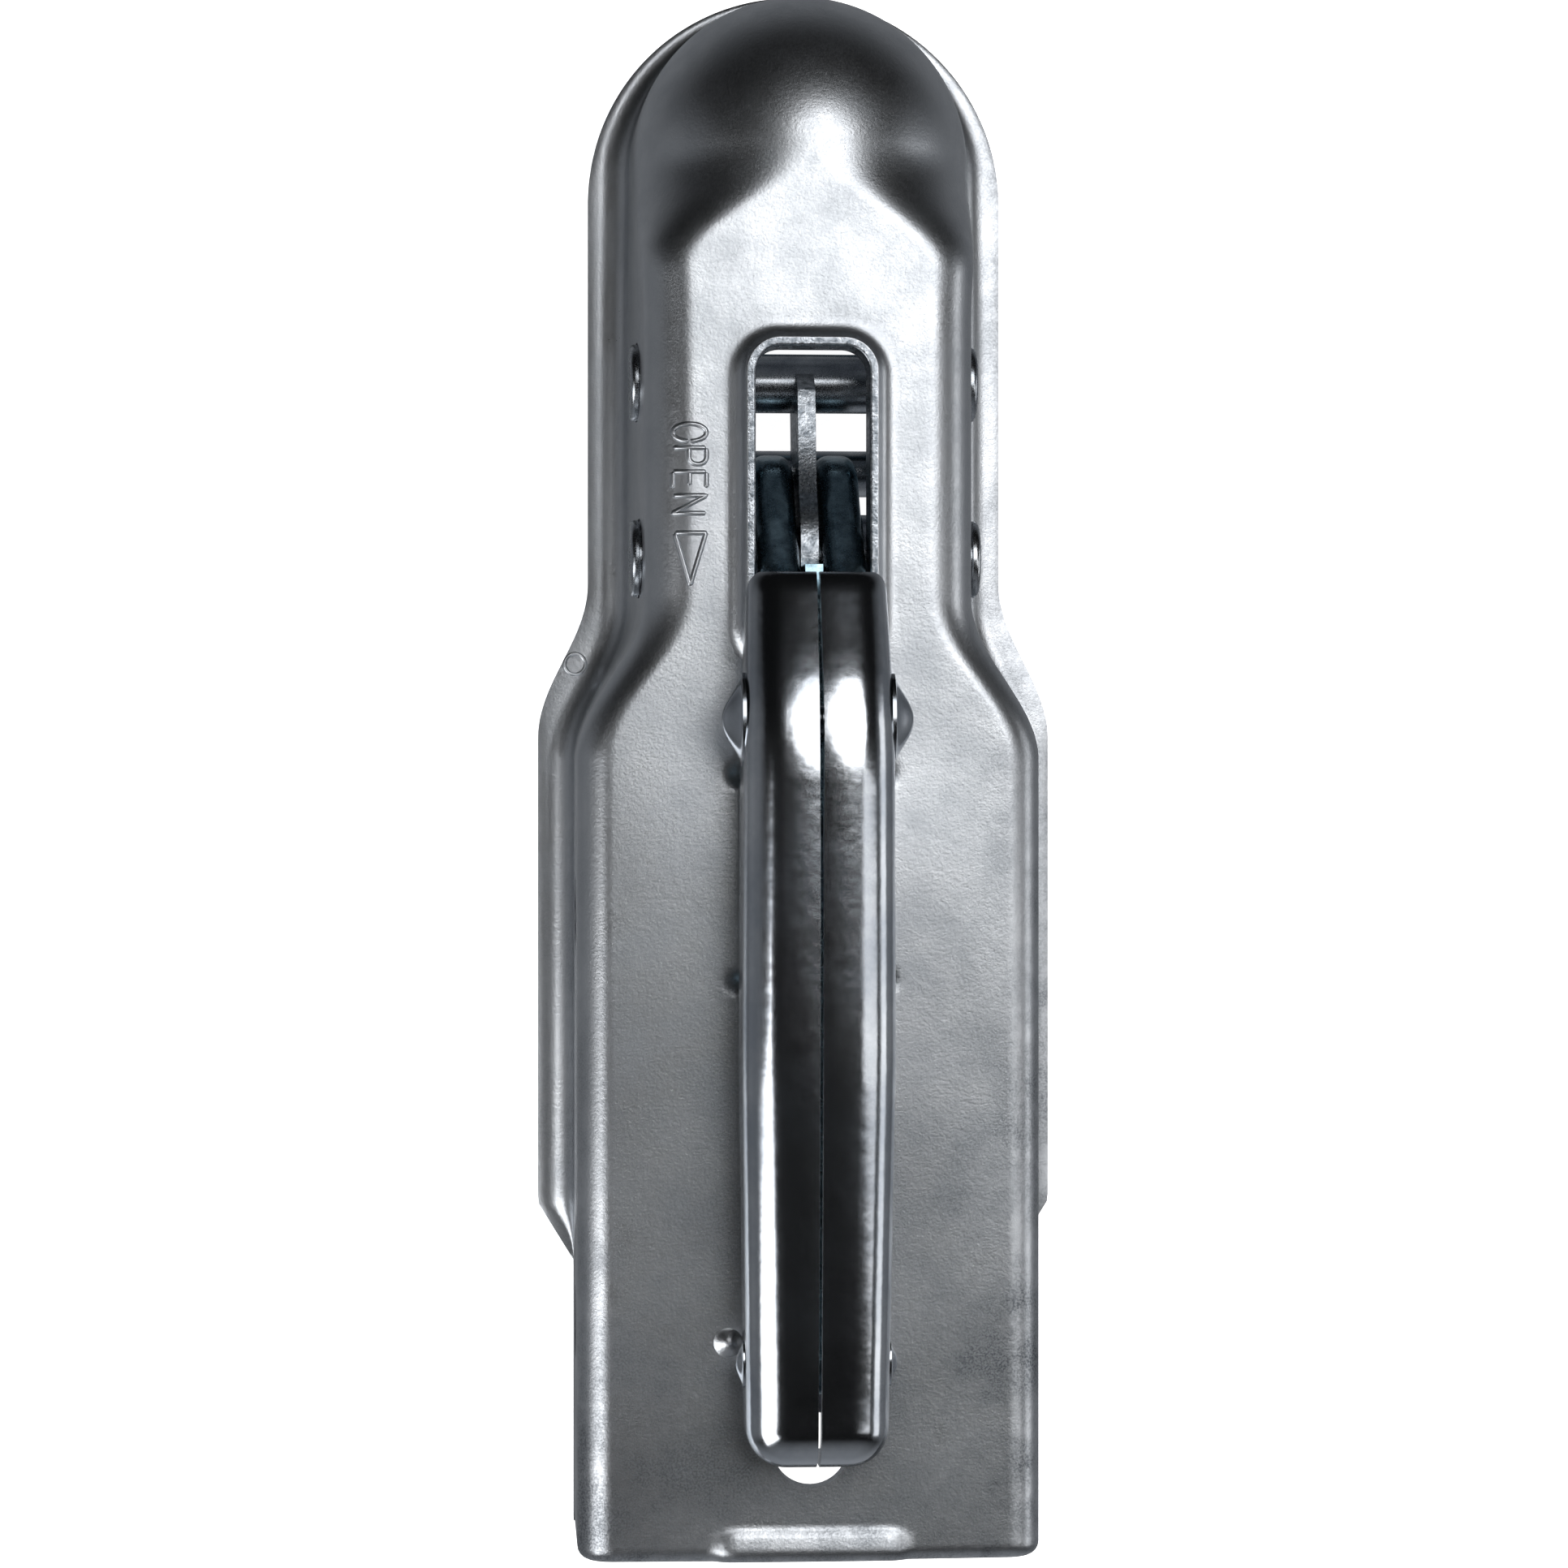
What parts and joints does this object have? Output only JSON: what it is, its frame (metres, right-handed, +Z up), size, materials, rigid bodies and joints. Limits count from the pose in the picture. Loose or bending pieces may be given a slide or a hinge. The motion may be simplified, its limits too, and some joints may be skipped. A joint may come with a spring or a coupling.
{
  "type": "trailer coupling head",
  "caption": "Pressed steel coupling head for a 50 mm towing ball on a 70 mm square drawbar, with a lift handle, cam, ball clamp and release lever.",
  "frame": {"origin": "centre of the seated towing ball", "axes": "+Y forward over the nose, +Z up, +X to the right"},
  "size_m": [0.0894, 0.266, 0.0705],
  "materials": {
    "zinc_sheet": "bright zinc plate on pressed sheet steel",
    "zinc_handle": "bright zinc plate, smooth",
    "zinc_pin": "zinc plate on turned steel",
    "dark_zinc": "blue zinc plate on stamped steel",
    "spring_wire": "zinc plated spring wire"
  },
  "bodies": {
    "housing": {"housing": "zinc_sheet", "front_pin": "zinc_pin", "pivot_pin": "zinc_pin", "catch_plate": "dark_zinc", "pivot_bush_left": "zinc_pin", "pivot_bush_right": "zinc_pin", "clamp_spring_left": "spring_wire", "clamp_spring_right": "spring_wire"},
    "handle": {"handle_left": "zinc_handle", "handle_right": "zinc_handle", "cam_left": "dark_zinc", "cam_right": "dark_zinc", "front_rivet": "zinc_pin", "rear_rivet": "zinc_pin", "lever_spacer_left": "zinc_pin", "lever_spacer_right": "zinc_pin", "lever_spring": "spring_wire"},
    "clamp": {"ball_clamp": "dark_zinc", "clamp_bar": "zinc_pin"},
    "release": {"release_lever": "dark_zinc"}
  },
  "joints": [
    {"name": "handle_lift", "type": "hinge", "parent": "housing", "child": "handle", "pos_m": [0, -0.068, 0.012], "axis": [-1, 0, 0], "range_deg": [0, 50]},
    {"name": "clamp_swing", "type": "hinge", "parent": "housing", "child": "clamp", "pos_m": [0, -0.038, 0.008], "axis": [-1, 0, 0], "range_deg": [0, 12], "deforming": ["clamp_spring_left", "clamp_spring_right"]},
    {"name": "release_squeeze", "type": "hinge", "parent": "handle", "child": "release", "pos_m": [0, -0.2, 0.041], "axis": [1, 0, 0], "range_deg": [0, 2], "stiffness_Nm_per_rad": 1.2, "springref_deg": -3.44, "deforming": ["lever_spring"]}
  ],
  "couplings": [
    {"joint": "clamp_swing", "follows": "handle_lift", "ratio": 0.24}
  ]
}
